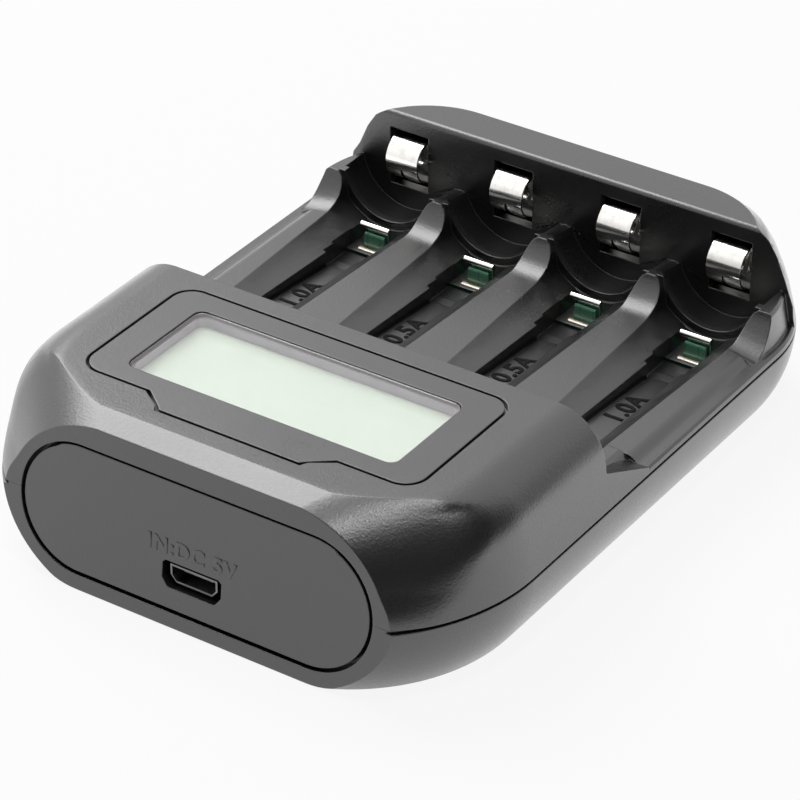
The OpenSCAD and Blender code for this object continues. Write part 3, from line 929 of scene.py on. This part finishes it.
@dataclass
class Case(SubAssembly):
    """The two shells, the end panel and the marks moulded in them. Lengths are in metres."""

    panel_end: Couple = (21.9 * MM, 9.2 * MM)  # Y and Z of the lower end of the bays' sloping panels
    panel_fall: float = math.radians(5)
    ratings: tuple[str, ...] = ("1.0A", "0.5A", "0.5A", "1.0A")
    bay_pitch: float = 18 * MM
    rating_run: float = 10.1 * MM  # how far up its panel a rating stands
    rating_size: Couple = (2.9 * MM, 0.14 * MM)  # height and relief
    inlet_words: str = "IN:DC 5V"
    inlet_place: Couple = (-0.2 * MM, 11.45 * MM)  # X and Z
    inlet_size: Couple = (2.2 * MM, 0.12 * MM)
    inlet_inset: float = 0.1 * MM  # how far the words sit in the port end's face
    face_lean: float = math.radians(7)
    panel_outline: Triple = (18.25 * MM, 11.8 * MM, 9.25 * MM)  # half the straight run, middle height, end radius
    seam: float = 0.18 * MM  # how far the end panel's edge is drawn in

    def build(self) -> None:
        """Dresses the shells and moulds the marks."""
        self._upper_shell()
        self.dress(Slot.CASE_LOWER, "lower_shell")
        self._end_panel()
        self._ratings()
        self._inlet_mark()

    def _upper_shell(self) -> None:
        """Gives the upper shell its soft corners, sloping wall and pointed horns."""
        piece = ShellForm().build("upper_shell_form", packed_form("upper_shell"))
        self.add(piece, Slot.CASE_UPPER)
        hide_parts("upper_shell")

    def _end_panel(self) -> None:
        """Draws in the end panel's edge a little, for the open seam round it."""
        form = packed_form("end_panel")
        straight, height, edge = self.panel_outline
        for v in form.verts:
            off = Vector((math.copysign(max(abs(v.co.x) - straight, 0.0), v.co.x), v.co.z - height))
            if abs(off.length - edge) < 0.15 * MM:
                inward = off.normalized() * self.seam
                v.co.x -= inward.x
                v.co.z -= inward.y
        piece = mesh_object("end_panel_form", form, sharp=math.radians(27))
        self.add(piece, Slot.CASE_PANEL)
        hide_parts("end_panel")

    def _ratings(self) -> None:
        """Moulds each bay's current on its sloping panel, read along the bay."""
        down = Vector((0, math.cos(self.panel_fall), -math.sin(self.panel_fall)))
        for bay, words in zip(BAYS, self.ratings):
            x = (bay - (BAYS[0] + BAYS[-1]) / 2) * self.bay_pitch
            place = Vector((x, *self.panel_end)) - down * self.rating_run
            mark = Mark(words, *self.rating_size, place, down, Vector((-1, 0, 0)))
            # the ratings are of the case plastic, drawn near black as painted shade
            self.add(mark.build(f"rating_mark_{bay}"), Slot.CASE_UPPER, style=self.finishes.shade_painted_mark)

    def _inlet_mark(self) -> None:
        """Moulds the supply's rating above the inlet."""
        up = Vector((0, math.sin(self.face_lean), math.cos(self.face_lean)))
        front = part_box("lower_shell")[0].y + self.inlet_inset
        x, z = self.inlet_place
        place = Vector((x, front + z * math.tan(self.face_lean), z))
        mark = Mark(self.inlet_words, *self.inlet_size, place, Vector((1, 0, 0)), up, spacing=1.15)
        self.add(mark.build("inlet_mark"), Slot.CASE_PANEL)


@dataclass
class Display(SubAssembly):
    """The cover plate, the lens, and the display under it."""

    def build(self) -> None:
        """Dresses the display's pieces."""
        self.dress(Slot.CASE_COVER, "display_cover")
        self.dress(Slot.CLEAR_LENS, "display_lens")
        self.dress(Slot.PALE_PLASTIC, "lcd_spacer")
        self.dress(Slot.LCD, "lcd_glass")
        self.dress(Slot.WHITE_PLASTIC, "lcd_backlight")
        self.dress(Slot.TIN, "lcd_pins")


@dataclass
class Electronics(SubAssembly):
    """The two boards, what is soldered to them, and the inlet.

    A ring is the plated hole beside a tab, placed from the tab's corner in metres; the others stand before it.
    """

    ring_radius: float = 0.75 * MM
    ring_place: Couple = (0.15 * MM, 1.3 * MM)
    # the post's lighter green is painted light
    post: Ridge = Ridge(((-0.34, 0.0), (-0.40, 0.12), (-0.32, 2.2), (-0.22, 2.45), (0.0, 2.5), (0.0, 0.0)),
                        (-1.55, 2.1))
    pad: Ridge = Ridge(((-1.62, 0.0), (-1.58, 0.3), (-1.38, 0.44), (-1.0, 0.44), (-0.8, 0.3), (-0.76, 0.0)),
                       (-1.9, 1.7))
    # a dark sheet on the board round each tab: painted shade where the board lies in shadow
    sheet: Ridge = Ridge(((-2.1, 0.0), (-2.1, 0.1), (-2.05, 0.14), (1.15, 0.14), (1.2, 0.1), (1.2, 0.0)),
                         (-3.6, 3.6))

    def build(self) -> None:
        """Dresses the boards and adds what is soldered round each tab."""
        self.dress(Slot.BOARD_GREEN, "main_board", "contact_board")
        self.dress(Slot.CHIP_BLACK, "charge_controller", "charge_transistors")
        self.dress(Slot.CHIP_BLACK, "usb_tongue", style=self.finishes.pale_tongue)
        self.dress(Slot.FERRITE, "power_inductor")
        self.dress(Slot.CAPACITOR_CAN, "filter_capacitors")
        self.dress(Slot.RIBBON, "board_link")
        self.dress(Slot.TIN, "usb_socket", style=self.finishes.shadowed_tin)
        self._rings()
        self._pads()

    def _rings(self) -> None:
        """Turns the plated hole beside each tab."""
        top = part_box("contact_board")[1].z
        across, along = self.ring_place
        r = self.ring_radius
        profile = [(r * 0.5, 0.0), (r * 0.5, 0.1 * MM), (r * 0.6, 0.16 * MM), (r * 0.9, 0.16 * MM), (r, 0.0)]
        for bay in BAYS:
            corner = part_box(f"aaa_contact_{bay}")[1]
            form = bmesh.new()
            points = [form.verts.new((reach, 0.0, z)) for reach, z in profile]
            edges = [form.edges.new(pair) for pair in zip(points, points[1:])]
            bmesh.ops.spin(form, geom=points + edges, cent=(0, 0, 0), axis=(0, 0, 1), angle=math.tau, steps=32)
            bmesh.ops.remove_doubles(form, verts=form.verts, dist=1e-6)
            bmesh.ops.translate(form, verts=form.verts, vec=(corner.x + across, corner.y + along, top))
            self.add(mesh_object(f"plated_hole_{bay}", form), Slot.BOARD_GREEN)

    def _pads(self) -> None:
        """Adds the green post, the soldered pad and a dark sheet of painted shade in front of each tab; the
        post's lighter green is painted light.
        """
        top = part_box("contact_board")[1].z
        for bay in BAYS:
            low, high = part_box(f"aaa_contact_{bay}")
            middle = Vector(((low.x + high.x) / 2, low.y, top))
            self.add(self.post.build(f"tab_post_{bay}", middle), Slot.BOARD_GREEN, style=self.finishes.lit_board)
            self.add(self.pad.build(f"tab_pad_{bay}", middle), Slot.TIN, style=self.finishes.solder)
            self.add(self.sheet.build(f"tab_shade_sheet_{bay}", middle), Slot.CHIP_BLACK)


@dataclass
class Contacts(SubAssembly):
    """The sprung strips, the tabs and the stepped contacts."""

    def build(self) -> None:
        """Dresses every contact."""
        for bay in BAYS:
            self.dress(Slot.NICKEL, f"aa_contact_{bay}", f"aaa_contact_{bay}", f"negative_contact_{bay}")


@dataclass
class Fasteners(SubAssembly):
    """The four case screws. Lengths are in metres."""

    head: Couple = (2.2 * MM, 1.8 * MM)  # radius and height
    rim: Couple = (0.86, 0.35 * MM)  # flat share of the head's radius, height of the round beyond it
    shank: Couple = (1.15 * MM, 9.5 * MM)  # radius and top
    thread: Couple = (0.4 * MM, 0.78)  # height of half a turn, share of the radius at its root
    tip: float = 0.3 * MM
    recess: Triple = (1.25 * MM, 0.32 * MM, 0.9 * MM)  # arm, half-width and depth of the cross
    taper: float = 0.6  # share of the recess's size at its floor
    sides: int = 32

    def build(self) -> None:
        """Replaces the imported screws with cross-headed ones."""
        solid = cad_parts["case_screws"]
        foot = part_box("case_screws")[0].z
        for number, (east, north) in enumerate(((-1, -1), (1, -1), (-1, 1), (1, 1)), 1):
            points = [v.co for v in solid.data.vertices if v.co.x * east > 0 and v.co.y * north > 0]
            x, y = ((min(row) + max(row)) / 2 for row in zip(*(p.xy for p in points)))
            piece = self._screw(f"case_screw_{number}", Vector((x, y, foot)))
            self.add(piece, Slot.SCREW_STEEL)
            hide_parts("case_screws")

    def _screw(self, name: str, foot: Vector) -> Object:
        """Makes one screw, head down.

        Args:
            name: the object's name.
            foot: the middle of its driving face.

        Returns:
            The object.
        """
        form = bmesh.new()
        radius, tall = self.head
        flat, edge = self.rim
        thin, top = self.shank
        turn, root = self.thread
        arm, half, deep = self.recess
        ring = [form.verts.new((flat * radius * math.cos(a), flat * radius * math.sin(a), 0.0))
                for a in (math.tau * i / self.sides for i in range(self.sides))]
        plus = [(arm, -half), (arm, half), (half, half), (half, arm), (-half, arm), (-half, half),
                (-arm, half), (-arm, -half), (-half, -half), (-half, -arm), (half, -arm), (half, -half)]
        cross = [form.verts.new((x, y, 0.0)) for x, y in plus]
        edges = [form.edges.new((loop[i - 1], loop[i])) for loop in (ring, cross) for i in range(len(loop))]
        bmesh.ops.triangle_fill(form, edges=edges, use_beauty=True)
        for face in [f for f in form.faces if all(v in cross for v in f.verts)]:
            form.faces.remove(face)
        floor = [form.verts.new((v.co.x * self.taper, v.co.y * self.taper, deep)) for v in cross]
        for i in range(len(plus)):
            form.faces.new((cross[i - 1], cross[i], floor[i], floor[i - 1]))
        form.faces.new(floor)
        last = ring
        threads = [(thin * (1.0 if i % 2 else root), tall + turn * i) for i in range(int((top - tall) / turn))]
        for r, z in [(radius, edge), (radius, tall), *threads, (self.tip, top)]:
            band = [form.verts.new((v.co.x / v.co.xy.length * r, v.co.y / v.co.xy.length * r, z)) for v in ring]
            for i in range(self.sides):
                form.faces.new((last[i - 1], last[i], band[i], band[i - 1]))
            last = band
        form.faces.new(last)
        bmesh.ops.translate(form, verts=form.verts, vec=foot)
        return mesh_object(name, form, smooth=False)


@dataclass(frozen=True)
class Softbox:
    """A lamp that faces the object, in metres, with its radiance as a share of white paper's in full light."""

    name: str
    place: Triple
    size: Couple
    radiance: float

    def build(self) -> None:
        """Hangs the lamp, hidden from the camera and from what looks through the lens."""
        lamp = bpy.data.lights.new(self.name, "AREA")
        lamp.shape = "RECTANGLE"
        lamp.size, lamp.size_y = self.size
        lamp.energy = self.radiance * math.pi * self.size[0] * self.size[1]
        piece = bpy.data.objects.new(self.name, lamp)
        piece.location = self.place
        piece.rotation_euler = (-Vector(self.place)).to_track_quat("-Z", "Y").to_euler()
        piece.visible_camera = piece.visible_transmission = False
        bpy.context.scene.collection.objects.link(piece)


@dataclass
class Studio:
    """A white floor, an overhead softbox, a small hair light, and the camera. Lengths are in metres."""

    lamps: tuple[Softbox, ...] = (Softbox("overhead softbox", (-0.56, 0.22, 0.77), (0.58, 0.80), 5.5),
                                  Softbox("hair light", (0.21, -0.22, 0.97), (0.20, 0.20), 17.0))
    room: float = 0.08  # faint light from all round
    walls: Couple = (1.3, 0.1)  # brightness of the mirrored walls, at the back left and at the front right
    facing: Couple = (0.83, 0.56)  # X and Y shares of the way to the front right
    drop: float = 0.2 * MM  # how far the floor lies below the object
    paper: float = 0.86  # how white the floor is
    foot: Couple = (0.050, 0.066)  # half sizes of the patch round the object where a shadow is painted into the floor's mirrored glow
    eye: Triple = (0.24949, -0.37395, 0.29817)
    bearing: float = math.radians(33.85)  # the camera's angle round the object, from the front to the right
    height: float = math.radians(32.77)  # its angle above the floor
    lens: float = 175.08  # in millimetres, as is the width of the film
    film: float = 36.0
    shift: Couple = (-0.0059, -0.0046)

    def build(self) -> None:
        """Sets up the floor, the light and the camera."""
        bpy.context.scene.view_settings.view_transform = "Standard"
        self._world()
        self._floor()
        for lamp in self.lamps:
            lamp.build()
        self._camera()

    def _frontwards(self, graph: Graph, axes: Node) -> NodeSocket:
        """How far a place lies to the front right, from the node of its X, Y and Z."""
        right, front = (graph.times(axes.outputs[i], share) for i, share in enumerate(self.facing))
        return graph.math("SUBTRACT", right, front)

    def _world(self) -> None:
        """Lights the room faintly, gives the plastic walls to mirror, and shows white behind the object."""
        world = bpy.data.worlds.new("studio")
        world.use_nodes = True
        bpy.context.scene.world = world
        graph = Graph(world.node_tree)
        path = graph.add("LightPath")
        axes = graph.add("SeparateXYZ", {0: graph.add("TexCoord").outputs["Generated"]})
        walls = graph.times(graph.spread(self._frontwards(graph, axes), 0.05, 0.32, *self.walls),
                           path.outputs["Is Glossy Ray"])
        dim = graph.add("Background", {"Color": WHITE, "Strength": graph.math("MAXIMUM", walls, self.room)})
        white = graph.add("Background", {"Color": WHITE, "Strength": 1.0})
        mixed = graph.mixed(path.outputs["Is Camera Ray"], dim, white)
        graph.add("OutputWorld", {"Surface": mixed.outputs[0]})

    def _floor(self) -> None:
        """Lays the white floor, which is clear from below and, in reflections, glows with painted light and a
        painted shadow round the object.
        """
        form = bmesh.new()
        bmesh.ops.create_grid(form, x_segments=8, y_segments=8, size=1.6)
        floor = mesh_object("floor", form, smooth=False)
        floor.location.z = -self.drop
        material = bpy.data.materials.new("white floor")
        material.use_nodes = True
        graph = Graph(material.node_tree)
        path = graph.add("LightPath")
        axes = graph.add("SeparateXYZ", {0: graph.add("TexCoord").outputs["Object"]})
        # painted light and shadow in the floor's mirrored glow: dimmer round the object's foot, dimmer towards
        # the front right, brighter towards the back
        reach = [graph.math("POWER", graph.math("DIVIDE", axes.outputs[i], size), 2.0)
                 for i, size in enumerate(self.foot)]
        lit = graph.spread(graph.math("SQRT", graph.math("ADD", *reach)), 0.8, 2.0, 0.7, 1.0)
        dark = graph.spread(self._frontwards(graph, axes), 0.08, 0.30, 1.0, 0.25)
        level = graph.spread(axes.outputs[1], -0.12, 0.12, 1.35, 2.4)
        painted_floor_glow = graph.times(graph.times(lit, dark), level)
        paper = graph.add("BsdfDiffuse", {"Color": shade((self.paper,) * 3)})
        mirrored = graph.add("Emission", {"Color": WHITE, "Strength": painted_floor_glow})
        white = graph.add("Emission", {"Color": WHITE, "Strength": 1.0})
        mixed = graph.mixed(path.outputs["Is Glossy Ray"], paper, mirrored)
        seen = graph.mixed(graph.times(path.outputs["Is Camera Ray"], 0.9), mixed, white)
        below = graph.add("NewGeometry").outputs["Backfacing"]
        whole = graph.mixed(below, seen, graph.add("BsdfTransparent"))
        graph.add("OutputMaterial", {"Surface": whole.outputs[0]})
        floor.data.materials.append(material)

    def _camera(self) -> None:
        """Stands the camera at the viewing angle."""
        camera = bpy.data.cameras.new("camera")
        camera.lens, camera.sensor_width = self.lens, self.film
        camera.shift_x, camera.shift_y = self.shift
        camera.clip_start, camera.clip_end = 0.01, 10.0
        piece = bpy.data.objects.new("camera", camera)
        piece.location = self.eye
        piece.rotation_euler = (math.pi / 2 - self.height, 0.0, self.bearing)
        bpy.context.scene.collection.objects.link(piece)
        bpy.context.scene.camera = piece


def main() -> None:
    """Builds the charger and the studio in order."""
    logging.basicConfig(level=logging.INFO, format="%(name)s: %(message)s")
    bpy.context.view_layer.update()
    finishes = Finishes()
    for part in (Case, Display, Electronics, Contacts, Fasteners):
        part(finishes).build()
    Studio().build()


if __name__ == "__main__":
    main()
